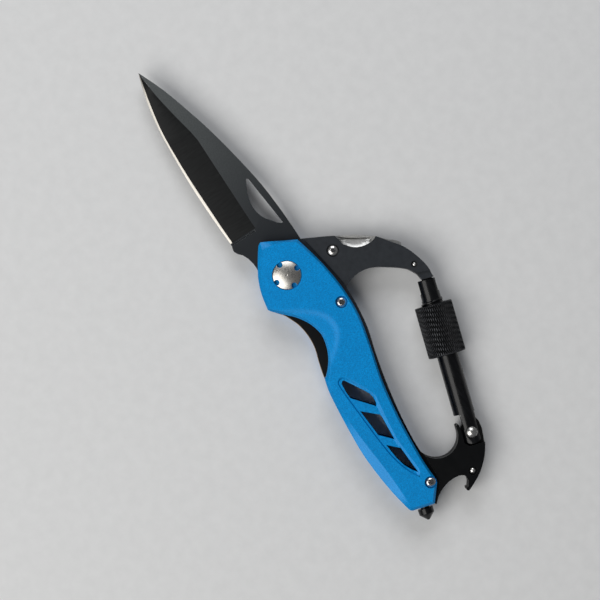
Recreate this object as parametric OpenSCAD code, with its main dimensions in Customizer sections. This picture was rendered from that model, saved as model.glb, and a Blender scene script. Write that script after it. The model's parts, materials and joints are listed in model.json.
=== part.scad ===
// Folding rigging knife on a carabiner frame: a locking blade, a two-liner handle with a
// C-shaped hook, a bottle opener, a spring gate with a screw sleeve, and a fold-out driver.
// It lies on its back: Z runs through the thickness, +X along the open blade.

/* [Overall] */
// Place of the blade pivot along X
pivot_x = 4.58; // [0:0.01:10]
// Place of the blade pivot along Y
pivot_y = 14.87; // [10:0.01:20]

/* [Handle stack] */
// Thickness of each blue scale
scale_t = 3.2; // [2.8:0.1:4]
// Thickness of each liner plate
liner_t = 1.8; // [1.6:0.1:2.2]
// Gap between the two liners
gap_t = 3.0; // [2.8:0.1:3.4]
// Thickness of the raised pads on the arms
pad_t = 0.8; // [0.4:0.1:1.2]

/* [Blade] */
// Thickness at the spine
blade_t = 2.6; // [2.2:0.1:2.7]
// Thickness behind the cutting bevel
bevel_t = 0.7; // [0.4:0.1:1]
// Radius of the pivot barrel
barrel_r = 2.5; // [2:0.1:3]
// Radius of the pivot screw's domed head
pivot_head_r = 4.7; // [4.2:0.1:5]

/* [Gate] */
// Radius of the gate rod
rod_r = 3.55; // [3.3:0.05:3.7]
// Radius of the rod's plain top end
stub_r = 3.22; // [3:0.01:3.3]
// Radius of the threaded band
thread_r = 3.85; // [3.8:0.01:3.86]
// Outer radius of the screw sleeve
sleeve_r = 6.3; // [6:0.1:6.4]
// Length of the screw sleeve
sleeve_len = 17.2; // [15:0.1:18]

/* [Fits] */
// Radial clearance of a running fit
run_gap = 0.05; // [0.02:0.01:0.1]

/* [Hidden] */
$fn = 64;

// Layers from the back up
rear_liner_z = scale_t;
gap_z = rear_liner_z + liner_t;
front_liner_z = gap_z + gap_t;
front_scale_z = front_liner_z + liner_t;
top_z = front_scale_z + scale_t;
mid_z = gap_z + gap_t / 2;
blade_z = mid_z - blade_t / 2;
washer_t = (gap_t - blade_t) / 2 - 0.02;

// Places of the pins, measured from the blade pivot's drawing origin
pivot = [0.6, 0];
tool_pivot = [-0.75, -17.1];
screw_at = [[-16.4, -10.2], [-81.7, -2.6]];
stop_at = [-2.5, -9.55];
arm_pin_at = [-19.1, -37.1];
opener_pin_at = [-86.3, -16.3];
detent_at = [-10.2, 3.6];

// Radii of the small pins and screws; each hole is run_gap larger
screw_r = 1.0;
screw_head_r = 1.8;
screw_seat = 1.4;
tool_barrel_r = 1.5;
arm_pin_r = 0.9;
opener_pin_r = 1.0;
rivet_r = 1.25;
rivet_head_r = 1.9;
rivet_seat = 3.15;

// The gate's own axes: u runs from the hinge to the nose, v towards the handle
hinge = [-75.6, -22.85];
gate_angle = -17.1;
rod_v = 0.5;
rod_start_u = 6.4;
thread_u = [36, 45.6];
rod_end_u = 52.3;
sleeve_u = 26.65;
slot_w = gap_t + 0.2;
lower_slot_u = 5.6;
upper_slot_u = 47.9;
spring_bore_r = 1.6;
knuckle_r = 3.8;
spring_start_u = 8.25;
spring_end_u = 20;
spring_r = 1.5;
seal_u = 28.3;
pad_end_u = 54.8;

// A point in the gate's axes
function gate_pt(u, v) = hinge + [u * cos(gate_angle) - v * sin(gate_angle),
                                  u * sin(gate_angle) + v * cos(gate_angle)];

// How far a point lies along the gate's axis
function gate_u(p) = (p - hinge) * [cos(gate_angle), sin(gate_angle)];

// One point of a Catmull-Rom curve between b and c
function blend_pt(a, b, c, d, t) =
  (2 * b + (c - a) * t + (2 * a - 5 * b + 4 * c - d) * t * t
   + (3 * b - a - 3 * c + d) * t * t * t) / 2;

// A smooth curve through the points p, with n steps between neighbours
function curve(p, n = 3) = concat(
  [for (i = [0 : len(p) - 2]) for (k = [0 : n - 1])
    blend_pt(p[max(i - 1, 0)], p[i], p[i + 1], p[min(i + 2, len(p) - 1)], k / n)],
  [p[len(p) - 1]]);

// A circular arc from angle a to angle b
function arc(c, r, a, b, n = 12) =
  [for (i = [0 : n]) c + r * [cos(a + (b - a) * i / n), sin(a + (b - a) * i / n)]];

// A list without its last item, so that stretches join without a double point
function front(p) = [for (i = [0 : len(p) - 2]) p[i]];

// The same list, last item first
function reversed(p) = [for (i = [len(p) - 1 : -1 : 0]) p[i]];

// Stretches of curve joined at sharp corners into one closed outline
function outline(stretches) = [for (s = stretches) each front(curve(s))];

// Outline of a scale at its foot: head, spine, butt, edge, finger groove, head top
head_side = [[14.4, 1.5], [13.2, -0.9], [10.9, -5.0], [8.6, -9.3]];
spine_side = [[8.6, -9.3], [0, -11.4], [-8, -12.7], [-16, -13.15], [-24, -12.6],
  [-34, -10.35], [-46, -7.3], [-60, -5.3], [-74, -4.4], [-82, -4.65]];
butt_side = [[-83, -4.3], [-88.3, 0.1], [-86.4, 7.3], [-86, 7.9]];
edge_side = [[-85, 8.3], [-78, 9.65], [-70, 10.6], [-62, 11.0], [-54, 10.65], [-46, 10.0],
  [-39, 9.2], [-35, 8.2]];
deep_groove = [[-35, 8.2], [-32.3, 5.45], [-29, 3.1], [-25.5, 1.7], [-21.9, 1.1],
  [-18.5, 1.75], [-15.4, 3.1], [-12.4, 5.15], [-9.4, 8.1], [-6.8, 10.5], [-5.5, 11.4]];
shallow_groove = [[-35, 8.2], [-32.5, 7.7], [-28.5, 6.6], [-25, 5.5], [-21.5, 5.05],
  [-18, 5.2], [-15, 5.8], [-12.5, 6.8], [-10, 8.0], [-7.6, 9.9], [-5.5, 11.4]];
head_top = [[-5.5, 11.4], [0, 10.3], [5, 8.35], [10, 5.25], [13.4, 2.85], [14.4, 1.5]];

function scale_foot(groove) = concat(
  outline([head_side, spine_side]), [[-82, -4.65]], butt_side,
  outline([edge_side, groove, head_top]));

// Arms of the liners
arm_outer = [[8.5, -9.9], [5, -16.6], [3.1, -20.0], [-0.45, -26.3], [-4.0, -31.0],
  [-7.5, -33.7], [-12.5, -37.4], [-17.5, -39.35], [-22, -40.3], [-25.9, -40.1]];
arm_inner = [[-22.5, -36.2], [-19.1, -34.3], [-15.2, -29.4], [-12.3, -24.6], [-11.5, -20],
  [-12.3, -15.9], [-13.2, -14.3]];
liner_spine = [[-13.2, -14.3], [-20, -14.0], [-28, -12.95], [-36, -10.75], [-46, -8.4],
  [-58, -6.35], [-68, -5.4], [-73, -5.4]];
loop_c = [-70.6, -12.3];
loop_r = 7.1;
opener_hook = [[-80.6, -24.75], [-84.1, -22.3], [-88, -18], [-90.5, -13.2], [-91.1, -11.7]];
horn_tip = [[-91.1, -11.7], [-90.6, -11.2], [-89.9, -11.4]];
opener_mouth = [[-90, -12.1], [-88.2, -13.35], [-86, -13.05], [-85, -10.4], [-85.3, -6.4],
  [-86.9, -2.85], [-89.1, -0.4]];

// Nose of the upper arm, square to the gate
nose_end = [gate_pt(52.65, -2.0), gate_pt(52.65, 1.9)];
// Edge of the lower arm round the gate's swing, from the horn to the outer edge
gate_recess = [gate_pt(3.4, 4.5), gate_pt(3.85, 3.9), gate_pt(3.5, 3.45), gate_pt(0.6, 3.3),
  gate_pt(-2.9, 3.25), gate_pt(-4.15, 1.8), gate_pt(-4.15, -3.2)];

function liner_outline(groove) = concat(
  front(head_side), [[8.6, -9.3]], front(curve(arm_outer)), nose_end, front(curve(arm_inner)),
  front(curve(liner_spine)), arc(loop_c, loop_r, 104, 254), gate_recess,
  front(curve(opener_hook)), horn_tip,
  front(curve(opener_mouth)), [[-89.1, -0.4], [-88.3, 0.3], [-86.4, 7.3], [-86, 7.9]],
  outline([edge_side, groove, head_top]));

// Three windows through the butt half of the handle, and the sunk field round them
window_a = [[-38.2, 3.6], [-38.9, 4.35], [-42.1, 4.6], [-44.3, 4.5], [-44.8, 4.2],
  [-51.2, -1.2], [-50, -1.85], [-48.1, -1.95], [-46.4, -1.6], [-45, -0.85], [-38.4, 3.0]];
window_b = [[-49.7, 4.1], [-59.5, 3.4], [-63.5, -0.3], [-55.3, -0.9], [-54.1, -0.7]];
window_c = [[-63.6, 2.95], [-66.2, 2.75], [-69.1, 2.4], [-72.3, 1.65], [-75, 0.35],
  [-76.7, -1.0], [-67, -0.5]];
window_field = [[-37.0, 3.7], [-37.7, 5.0], [-40, 5.5], [-50, 5.0], [-60, 4.4], [-68.7, 3.4],
  [-75.1, 1.4], [-78.2, -0.5], [-76, -1.75], [-70, -1.45], [-65, -1.1], [-60, -1.45],
  [-52, -2.4], [-49, -2.85], [-47.1, -2.6], [-41.4, -0.1], [-38.6, 1.5], [-37.3, 2.7]];
field_depth = 1.1;

// Spring leaf of the liner lock, cut free from the rear liner
leaf_root_x = -36;
leaf_tip_r = 6.4;
leaf_gap = 0.35;
lock_angle = 141.5;
function leaf_outline() = concat(
  [[leaf_root_x, 0.9]], arc(pivot, leaf_tip_r, 174.6, lock_angle, 6),
  [pivot + 8.8 * [cos(lock_angle), sin(lock_angle)], [-9.5, 8.3]],
  [for (p = reversed(curve(shallow_groove))) if (p.x < -9.8 && p.x > leaf_root_x + 1) p]);

// Everything is drawn from the pivot, then moved to the part's own origin
module placed() {
  translate([pivot_x, pivot_y, 0]) children();
}

module plate(p, z, t) {
  translate([0, 0, z]) linear_extrude(t) polygon(p);
}

module pin(at, r, z0, z1) {
  translate([at.x, at.y, z0]) cylinder(r = r, h = z1 - z0);
}

module washer(at, r_in, r_out, z, t) {
  difference() {
    pin(at, r_out, z, z + t);
    pin(at, r_in, z - 1, z + t + 1);
  }
}

// A closed skin between rings of points with equal counts, each ring at its own height
module loft(rings) {
  n = len(rings[0]);
  last = len(rings) - 1;
  sides = [for (k = [0 : last - 1]) for (i = [0 : n - 1])
    [k * n + i, k * n + (i + 1) % n, (k + 1) * n + (i + 1) % n, (k + 1) * n + i]];
  floor_face = [[for (i = [n - 1 : -1 : 0]) i]];
  roof_face = [[for (i = [0 : n - 1]) last * n + i]];
  polyhedron(points = [for (r = rings) each r], faces = concat(floor_face, sides, roof_face));
}

module windows(z, t) {
  plate(window_a, z, t);
  plate(window_b, z, t);
  plate(window_c, z, t);
}

// A screw head's pocket and its clearance hole, sunk from z = top down to seat
module screw_pocket(at, head_r, shank_r, seat, top) {
  pin(at, head_r, seat, top + 1);
  pin(at, shank_r, -1, top + 1);
}

module front_scale() {
  color("#0a7dbe") placed() difference() {
    plate(scale_foot(deep_groove), front_scale_z, scale_t);
    windows(front_scale_z - 1, scale_t + 2);
    plate(window_field, top_z - field_depth, scale_t);
    screw_pocket(pivot, pivot_head_r + 0.15, barrel_r + run_gap, top_z - 1.6, top_z);
    for (at = screw_at)
      screw_pocket(at, screw_head_r + 0.2, screw_r + run_gap, top_z - screw_seat, top_z);
  }
}

module rear_scale() {
  color("#0a7dbe") placed() difference() {
    plate(scale_foot(shallow_groove), 0, scale_t);
    windows(-1, scale_t + 2);
    plate(window_field, field_depth - scale_t, scale_t);
    pin(pivot, pivot_head_r + 0.15, -1, 1.6);
    pin(pivot, barrel_r + run_gap, -1, scale_t + 1);
    for (at = screw_at) {
      pin(at, screw_head_r + 0.2, -1, screw_seat);
      pin(at, screw_r + run_gap, -1, scale_t + 1);
    }
  }
}

// Holes that both liners share
module liner_holes(z) {
  windows(z - 1, liner_t + 2);
  pin(pivot, barrel_r + run_gap, z - 1, z + liner_t + 1);
  pin(tool_pivot, tool_barrel_r + run_gap, z - 1, z + liner_t + 1);
  pin(arm_pin_at, arm_pin_r + run_gap, z - 1, z + liner_t + 1);
  pin(opener_pin_at, opener_pin_r + run_gap, z - 1, z + liner_t + 1);
  for (at = screw_at) pin(at, screw_r + run_gap, z - 1, z + liner_t + 1);
}

// Raised pads: the arms' outlines, cut back from the scale, the gate and the nose
function upper_pad() = concat(
  [[7.4, -11.3]], [for (p = curve(arm_outer)) if (p.y < -11.4 && gate_u(p) > pad_end_u) p],
  [for (p = curve(arm_inner)) if (p.y < -14.6 && gate_u(p) > pad_end_u) p],
  [[-12.9, -14.5], [-10, -14.15], [-5, -13.4], [0, -12.5]]);
function lower_pad() = concat(
  arc(loop_c, loop_r, 114, 254), gate_recess, front(curve(opener_hook)), horn_tip,
  [for (p = curve(opener_mouth)) if (p.y < -2.7) p],
  [[-86.9, -2.3], [-83.4, -5.2], [-80, -5.6]]);

// Opening over the driver, cut in the front plate only
driver_scoop = concat([[3.4, -20.1]],
  curve([[-0.8, -21.0], [-3.3, -23.1], [-4.7, -25.6], [-5.2, -28.6], [-4.9, -30.6]]),
  [[-4.0, -32.2], [0.5, -28.5]]);

module front_liner() {
  color("#34373a") placed() difference() {
    union() {
      plate(liner_outline(deep_groove), front_liner_z, liner_t);
      plate(upper_pad(), front_scale_z, pad_t);
      plate(lower_pad(), front_scale_z, pad_t);
    }
    liner_holes(front_liner_z);
    plate(driver_scoop, front_liner_z - 1, liner_t + pad_t + 2);
    pin(tool_pivot, 2.15, front_scale_z, top_z);
    pin(arm_pin_at, 1.15, front_scale_z, top_z);
    pin(opener_pin_at, 1.5, front_scale_z, top_z);
  }
}

module rear_liner() {
  color("#34373a") placed() difference() {
    union() {
      plate(liner_outline(shallow_groove), rear_liner_z, liner_t);
      plate(upper_pad(), rear_liner_z - pad_t, pad_t);
      plate(lower_pad(), rear_liner_z - pad_t, pad_t);
    }
    liner_holes(rear_liner_z);
    plate(leaf_slot(), rear_liner_z - 1, liner_t + 2);
    pin(tool_pivot, 2.15, 0, rear_liner_z);
    pin(arm_pin_at, 1.15, 0, rear_liner_z);
    pin(opener_pin_at, 1.5, 0, rear_liner_z);
  }
}

// Space round the lock leaf, open at the groove's edge
function leaf_slot() = concat(
  [[leaf_root_x - leaf_gap, 0.5]], arc(pivot, leaf_tip_r - leaf_gap, 177.2, 139, 6),
  [[-6.0, 5.74], [-9.27, 8.56], [-9.0, 13], [leaf_root_x - leaf_gap, 13]]);

module lock_bar() {
  color("#2b2d30") placed() difference() {
    plate(leaf_outline(), rear_liner_z, liner_t);
    pin(detent_at, 0.82, rear_liner_z + 0.3, gap_z + 1);
  }
}

module detent_ball() {
  color("silver") placed() translate([detent_at.x, detent_at.y, gap_z - 0.7]) sphere(r = 0.8);
}

// Strip that closes the handle's spine between the liners
strip_w = 1.5;
strip_outer = [for (p = curve(liner_spine)) if (p.x < -13.5 && p.x > -72.9) p];
module spine_strip() {
  color("#1d1f21") placed()
    plate(concat(strip_outer, [for (p = reversed(strip_outer)) p + [0, strip_w]]), gap_z, gap_t);
}

// Tongue that the gate closes on, and the arm's core beside the driver
module arm_spacer() {
  core = concat(
    [[-5.4, -16.4], [-5.6, -18.6], [-7.3, -21.9], [-10.4, -28.4], [-13.9, -36.2], [-13.6, -37.9]],
    [for (p = curve(arm_outer)) if (p.x < -13.8) p],
    [gate_pt(52.65, -1.5), gate_pt(48.5, -1.4), gate_pt(48.3, 0.3), gate_pt(48.5, 1.7),
     gate_pt(52.65, 1.9)],
    front(curve(arm_inner)), [[-13.2, -14.3], [-13.45, -14.3], [-13.45, -12.8], [-5.2, -12.8]]);
  color("#1d1f21") placed() difference() {
    plate(core, gap_z, gap_t);
    pin(arm_pin_at, arm_pin_r + run_gap, gap_z - 1, front_liner_z + 1);
  }
}

// Core of the lower arm, ending in the knuckle that the gate turns on
module hinge_spacer() {
  core = concat(
    [[-72.95, -5.45]], arc(loop_c, loop_r, 109, 254),
    arc(hinge, knuckle_r, gate_angle + 65, gate_angle - 25, 9),
    [gate_pt(4.3, -2.7), [-74, -26.9], [-76.5, -26.45]], front(curve(opener_hook)), horn_tip,
    front(curve(opener_mouth)), [[-89.1, -0.4], [-88.3, -0.3], [-83.1, -4.8]]);
  color("#1d1f21") placed() difference() {
    plate(core, gap_z, gap_t);
    pin(hinge, rivet_r + run_gap, gap_z - 1, front_liner_z + 1);
    pin(opener_pin_at, opener_pin_r + run_gap, gap_z - 1, front_liner_z + 1);
  }
}

// Glass breaker's own axis: its shoulder, and the way it points
breaker_at = [-90.3, 4.0];
breaker_angle = 165;
module along_breaker(s) {
  translate([breaker_at.x, breaker_at.y, mid_z]) rotate([0, 0, breaker_angle])
    translate([s, 0, 0]) rotate([0, 90, 0]) children();
}

module glass_breaker() {
  color("#101214") placed() {
    along_breaker(-6.2) cylinder(r = 1.45, h = 4.3);
    along_breaker(-1.9) cylinder(r = 2.55, h = 1.9);
    along_breaker(0) cylinder(r1 = 2.55, r2 = 0.35, h = 2.15);
  }
}

// Block in the butt that holds the breaker's shank
module breaker_block() {
  color("#1d1f21") placed() difference() {
    plate([[-83.5, -1.3], [-87.3, -0.2], [-88.0, 0.6], [-86.6, 6.2], [-83.5, 6.2]], gap_z, gap_t);
    along_breaker(-6.3) translate([-2, -1.5, 0]) cube([4, 3, 12]);
    along_breaker(-2.1) cylinder(r = 2.65, h = 5);
  }
}

// Blade, flat on z = 0 to blade_t; each curve runs from the plunge to the tip
spine_line = [[19.4, -10.15], [30, -9.35], [42, -7.4], [54, -4.9], [64, -2.2], [74, 0.9],
  [82.9, 4.6]];
grind_line = [[19.4, 0.2], [30, 0.57], [42, 0.4], [54, 0.35], [64, 2.2], [74, 3.95],
  [82.6, 4.68]];
bevel_line = [[19.4, 8.9], [30, 9.2], [42, 9.3], [54, 9.05], [64, 8.3], [74, 6.7],
  [82.8, 4.8]];
edge_line = [[19.4, 10.0], [30, 10.4], [42, 10.5], [54, 10.05], [64, 9.3], [74, 7.6],
  [83.3, 4.85]];

// Cross-sections of the ground part, joined from the plunge to the tip
module ground_blade() {
  s = curve(spine_line);
  g = curve(grind_line);
  b = curve(bevel_line);
  e = curve(edge_line);
  half = blade_t / 2;
  thin = bevel_t / 2;
  loft([for (i = [0 : len(s) - 1]) [
    [s[i].x, s[i].y, half], [g[i].x, g[i].y, half], [b[i].x, b[i].y, thin], [e[i].x, e[i].y, 0],
    [b[i].x, b[i].y, -thin], [g[i].x, g[i].y, -half], [s[i].x, s[i].y, -half]]]);
}

// Ricasso, choil and tang with the lock shoulder
function tang_outline() = concat(
  [[19.4, -10.15], [19.4, 10.0], [18.5, 10.0], [17.3, 10.4], [16.5, 10.4], [15.4, 9.8],
   [14.1, 8.6], [12.1, 7.7], [9.8, 7.2], [8, 7.1]],
  arc(pivot, 8.5, 62, 140, 9), arc(pivot, 6.0, 140, 252, 12),
  [[-1.15, -6.2], [-1.15, -10.25], [5, -10.35], [12, -10.35]]);
thumb_hole = concat([[16.2, -8.45], [34.4, -6.65], [34.7, -6.15], [34.4, -5.8]],
  curve([[30.4, -3.85], [28.2, -3.15], [25.5, -2.85], [22.9, -3.2], [20.5, -4.2], [17.1, -6.75]]),
  [[16.1, -8.0]]);

module blade() {
  color("#3a3f42") placed() difference() {
    union() {
      plate(tang_outline(), blade_z, blade_t);
      translate([0, 0, mid_z]) ground_blade();
    }
    pin(pivot, barrel_r + run_gap, blade_z - 1, blade_z + blade_t + 1);
    plate(thumb_hole, blade_z - 1, blade_t + 2);
    translate([18.75, 0.8, mid_z]) plunge_groove();
    rotate_about(pivot, -174) pin(detent_at, 0.9, blade_z - 1, blade_z + 0.5);
  }
}

// Notch that ends the grind on both sides
module plunge_groove() {
  for (side = [-1, 1])
    translate([0, 4.4, side * blade_t / 2]) cube([0.5, 8.8, 0.7], center = true);
}

module rotate_about(at, angle) {
  translate(at) rotate([0, 0, angle]) translate(-at) children();
}

// Four round notches in the rim of a pivot head, for a pin spanner
notch_r = 0.95;
module head_notches(z0, z1) {
  for (a = [3 : 90 : 273])
    pin(pivot + (pivot_head_r - 0.6) * [cos(a), sin(a)], notch_r, z0, z1);
}

// Pivot: a screw in front, in a flanged barrel that the blade turns on
module pivot_screw() {
  head = [[0, 0], [pivot_head_r, 0], [pivot_head_r, 0.55], [4.1, 0.9], [3.3, 1.33], [2.3, 1.73],
    [1.2, 2.0], [0, 2.1]];
  color("silver") placed() difference() {
    union() {
      translate([pivot.x, pivot.y, top_z - 1.6]) rotate_extrude() polygon(head);
      pin(pivot, 1.55, gap_z, top_z - 1.6);
    }
    head_notches(top_z - 1.7, top_z + 2);
    translate([pivot.x, pivot.y, top_z + 0.9]) sphere(r = 0.6);
  }
}

module pivot_barrel() {
  color("silver") placed() difference() {
    union() {
      pin(pivot, pivot_head_r, 0.2, 1.6);
      pin(pivot, barrel_r, 1.6, top_z - 1.7);
    }
    pin(pivot, 1.6, rear_liner_z, top_z);
    head_notches(-1, 1.7);
  }
}

module pivot_washers() {
  color("peru") placed() {
    washer(pivot, barrel_r + run_gap, 5.8, gap_z, washer_t);
    washer(pivot, barrel_r + run_gap, 5.8, front_liner_z - washer_t, washer_t);
  }
}

module stop_pin() {
  color("silver") placed() pin(stop_at, 1.2, gap_z, front_liner_z);
}

// Low domed screw head with its shank; side 1 points up, side -1 points down
module screw(at, head_r, shank_r, seat, head_h, shank, side) {
  profile = [[0, 0], [head_r, 0], [head_r, 0.6 * head_h], [0.8 * head_r, 0.9 * head_h],
    [0.4 * head_r, head_h], [0, head_h]];
  translate([at.x, at.y, seat]) mirror([0, 0, side < 0 ? 1 : 0]) {
    rotate_extrude() polygon(profile);
    translate([0, 0, -shank]) cylinder(r = shank_r, h = shank);
  }
}

module front_screws() {
  color("silver") placed() for (at = screw_at)
    screw(at, screw_head_r, screw_r, top_z - screw_seat, 1.2, 5, 1);
}

module rear_screws() {
  color("silver") placed() for (at = screw_at)
    screw(at, screw_head_r, screw_r, screw_seat, 1.2, 5, -1);
}

module standoffs() {
  color("silver") placed() for (at = screw_at)
    washer(at, screw_r + run_gap, 1.5, gap_z, gap_t);
}

module tool_screw() {
  color("silver") placed() screw(tool_pivot, 1.7, screw_r, front_scale_z, 0.9, 5, 1);
}

module tool_barrel() {
  color("silver") placed() difference() {
    union() {
      pin(tool_pivot, 2.0, rear_liner_z - 0.7, rear_liner_z);
      pin(tool_pivot, tool_barrel_r, rear_liner_z, front_scale_z - 0.05);
    }
    pin(tool_pivot, screw_r + run_gap, rear_liner_z + 0.6, top_z);
  }
}

module tool_washers() {
  color("peru") placed() {
    washer(tool_pivot, tool_barrel_r + run_gap, 3.2, gap_z, washer_t);
    washer(tool_pivot, tool_barrel_r + run_gap, 3.2, front_liner_z - washer_t, washer_t);
  }
}

module arm_pin() {
  color("silver") placed() pin(arm_pin_at, arm_pin_r, rear_liner_z + 0.1, front_scale_z - 0.1);
}

module opener_pin() {
  color("silver") placed() pin(opener_pin_at, opener_pin_r, rear_liner_z - 0.3, front_scale_z + 0.3);
}

// Flat driver folded into the arm, tip just proud of the arm's edge
driver_outline = concat(
  [[3.0, -20.2], [-0.45, -26.3], [-4.0, -31.0], [-7.8, -34.6], [-8.4, -35.6], [-9.5, -36.7],
   [-10.6, -37.4], [-11.8, -36.9], [-12.9, -35.4], [-9.7, -28.2], [-6.6, -21.5]],
  arc(tool_pivot, 3.6, 195, 30, 12), [[3.3, -17.6]]);
nail_nick = [[1.35, -20.95], [0.9, -20.7], [-3.6, -28.1], [-3.2, -28.4]];

module driver_tool() {
  color("#c9ccce") placed() difference() {
    plate(driver_outline, blade_z, blade_t);
    pin(tool_pivot, tool_barrel_r + run_gap, blade_z - 1, front_liner_z);
    plate(nail_nick, blade_z + blade_t - 0.8, 2);
  }
}

// Gate parts are drawn along its axis: local z is u, local y is v
module along_gate(u) {
  translate([hinge.x, hinge.y, mid_z]) rotate([0, 0, gate_angle])
    translate([u, rod_v, 0]) rotate([0, 90, 0]) children();
}

// A box in the gate's axes, from u0 to u1 and v0 to v1, h high round the middle plane
module gate_box(u0, u1, v0, v1, h) {
  translate([hinge.x, hinge.y, mid_z - h / 2]) rotate([0, 0, gate_angle])
    translate([u0, v0, 0]) cube([u1 - u0, v1 - v0, h]);
}

module gate_rod() {
  end_r = 3.8;
  color("#101214") placed() difference() {
    union() {
      along_gate(rod_start_u) cylinder(r = rod_r, h = thread_u[1] - rod_start_u);
      along_gate(thread_u[0]) cylinder(r = thread_r, h = thread_u[1] - thread_u[0]);
      along_gate(thread_u[1]) cylinder(r = stub_r, h = rod_end_u - thread_u[1]);
      intersection() {
        along_gate(-end_r) cylinder(r = rod_r, h = rod_start_u + end_r + 0.1);
        union() {
          gate_box(-end_r, 1.5, -2.7, 2.65, 2 * rod_r);
          gate_box(1.5, rod_start_u + 0.1, -2.7, 2.0, 2 * rod_r);
        }
        union() {
          pin(hinge, end_r, 0, top_z);
          gate_box(0, 8, -5, 5, 2 * rod_r);
        }
      }
    }
    gate_box(-5, lower_slot_u, -5, 5, slot_w);
    gate_box(upper_slot_u, 60, -5, 6, slot_w);
    pin(hinge, rivet_r + run_gap, 0, top_z);
    pin(hinge, rivet_head_r + 0.15, mid_z + rivet_seat - run_gap, top_z);
    pin(hinge, rivet_head_r + 0.15, 0, mid_z - rivet_seat + run_gap);
    along_gate(lower_slot_u - 1) cylinder(r = spring_bore_r, h = spring_end_u - lower_slot_u + 1);
  }
}

module gate_rivet() {
  color("silver") placed() {
    pin(hinge, rivet_r, mid_z - rivet_seat, mid_z + rivet_seat);
    screw(hinge, rivet_head_r, rivet_r - run_gap, mid_z + rivet_seat, 0.9, 0.2, 1);
    screw(hinge, rivet_head_r, rivet_r - run_gap, mid_z - rivet_seat, 0.9, 0.2, -1);
  }
}

module gate_plunger() {
  color("silver") placed() {
    along_gate(4.05) cylinder(r = 1.1, h = 2.6);
    along_gate(6.65) cylinder(r = spring_r, h = spring_start_u - 6.65);
  }
}

// Coiled spring behind the plunger, drawn as its envelope tube
module gate_spring() {
  color("silver") placed() along_gate(spring_start_u) difference() {
    cylinder(r = spring_r, h = spring_end_u - spring_start_u);
    translate([0, 0, -1]) cylinder(r = 1.0, h = spring_end_u);
  }
}

module sleeve_seal() {
  color("#1a1a1a") placed() along_gate(seal_u)
    rotate_extrude() translate([4.35, 0]) circle(r = 0.4, $fn = 24);
}

module sleeve() {
  bore_r = thread_r + run_gap;
  mouth_r = 4.6;
  mouth_len = 6;
  groove_u = seal_u - sleeve_u;
  chamfer = 0.5;
  profile = [[bore_r, 0], [sleeve_r - chamfer, 0], [sleeve_r, chamfer],
    [sleeve_r, sleeve_len - chamfer], [sleeve_r - chamfer, sleeve_len], [mouth_r, sleeve_len],
    [mouth_r, sleeve_len - mouth_len], [bore_r, sleeve_len - mouth_len],
    [bore_r, groove_u + 0.6], [4.95, groove_u + 0.6], [4.95, groove_u - 0.6],
    [bore_r, groove_u - 0.6]];
  color("#1c1d1f") placed() along_gate(sleeve_u) rotate_extrude() polygon(profile);
}

front_scale();
rear_scale();
front_liner();
rear_liner();
spine_strip();
arm_spacer();
hinge_spacer();
breaker_block();
glass_breaker();
pivot_screw();
pivot_barrel();
pivot_washers();
stop_pin();
front_screws();
rear_screws();
standoffs();
tool_screw();
tool_barrel();
tool_washers();
arm_pin();
opener_pin();
gate_rivet();
blade();
lock_bar();
detent_ball();
driver_tool();
gate_rod();
gate_spring();
gate_plunger();
sleeve_seal();
sleeve();
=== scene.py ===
"""Looks of the folding rigging knife: final meshes, materials, light and camera."""
import json
import math

import bmesh
import bpy
from mathutils import Matrix, Vector

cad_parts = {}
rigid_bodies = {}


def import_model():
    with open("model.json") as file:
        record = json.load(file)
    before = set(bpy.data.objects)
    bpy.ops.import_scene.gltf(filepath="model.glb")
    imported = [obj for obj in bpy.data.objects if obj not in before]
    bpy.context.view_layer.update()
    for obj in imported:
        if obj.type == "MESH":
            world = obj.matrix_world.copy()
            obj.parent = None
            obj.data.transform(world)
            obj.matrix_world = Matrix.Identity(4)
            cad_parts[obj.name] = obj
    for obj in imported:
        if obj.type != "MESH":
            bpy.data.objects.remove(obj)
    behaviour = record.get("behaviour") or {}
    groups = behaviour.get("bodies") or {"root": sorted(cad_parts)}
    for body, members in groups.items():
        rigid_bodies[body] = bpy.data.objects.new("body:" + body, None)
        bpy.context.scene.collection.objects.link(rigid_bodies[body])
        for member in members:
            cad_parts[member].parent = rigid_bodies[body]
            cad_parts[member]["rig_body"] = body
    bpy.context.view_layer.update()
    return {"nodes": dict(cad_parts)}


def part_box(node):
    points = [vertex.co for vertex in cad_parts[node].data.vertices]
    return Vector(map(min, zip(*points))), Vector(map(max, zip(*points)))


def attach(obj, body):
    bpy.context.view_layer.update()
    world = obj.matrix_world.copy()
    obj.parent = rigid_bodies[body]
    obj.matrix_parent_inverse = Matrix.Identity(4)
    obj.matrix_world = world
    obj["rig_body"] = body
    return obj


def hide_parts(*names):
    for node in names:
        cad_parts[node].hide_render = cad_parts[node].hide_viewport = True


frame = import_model()

MM = 0.001
NODES = frame["nodes"]

# ---------------------------------------------------------------- places, from the frame
# Outlines below are in millimetres from the drawing origin, 0.6 mm behind the blade pivot.
PIVOT = (0.6, 0.0)
screw_low, screw_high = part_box("pivot_screw")
ORIGIN = Vector(((screw_low.x + screw_high.x) / 2 - PIVOT[0] * MM,
                 (screw_low.y + screw_high.y) / 2 - PIVOT[1] * MM, 0.0))
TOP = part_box("front_scale")[1].z / MM
SCALE_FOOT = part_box("front_scale")[0].z / MM
SCALE_T = TOP - SCALE_FOOT
MID = TOP / 2
GAP_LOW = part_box("spine_strip")[0].z / MM
GAP_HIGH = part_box("spine_strip")[1].z / MM
LINER_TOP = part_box("front_liner")[1].z / MM
HINGE = (-75.6, -22.85)
GATE_ANGLE = math.radians(-17.1)
ROD_V = 0.5
ROD_R = 3.55
SLEEVE_R = 6.3
SLEEVE_U = 26.65
SLEEVE_LEN = 17.2
SLEEVE_MOUTH_R = 4.6
SLEEVE_MOUTH_LEN = 6.0
SLEEVE_BORE_R = 3.9
THREAD_U = (36.0, 45.6)
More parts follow.
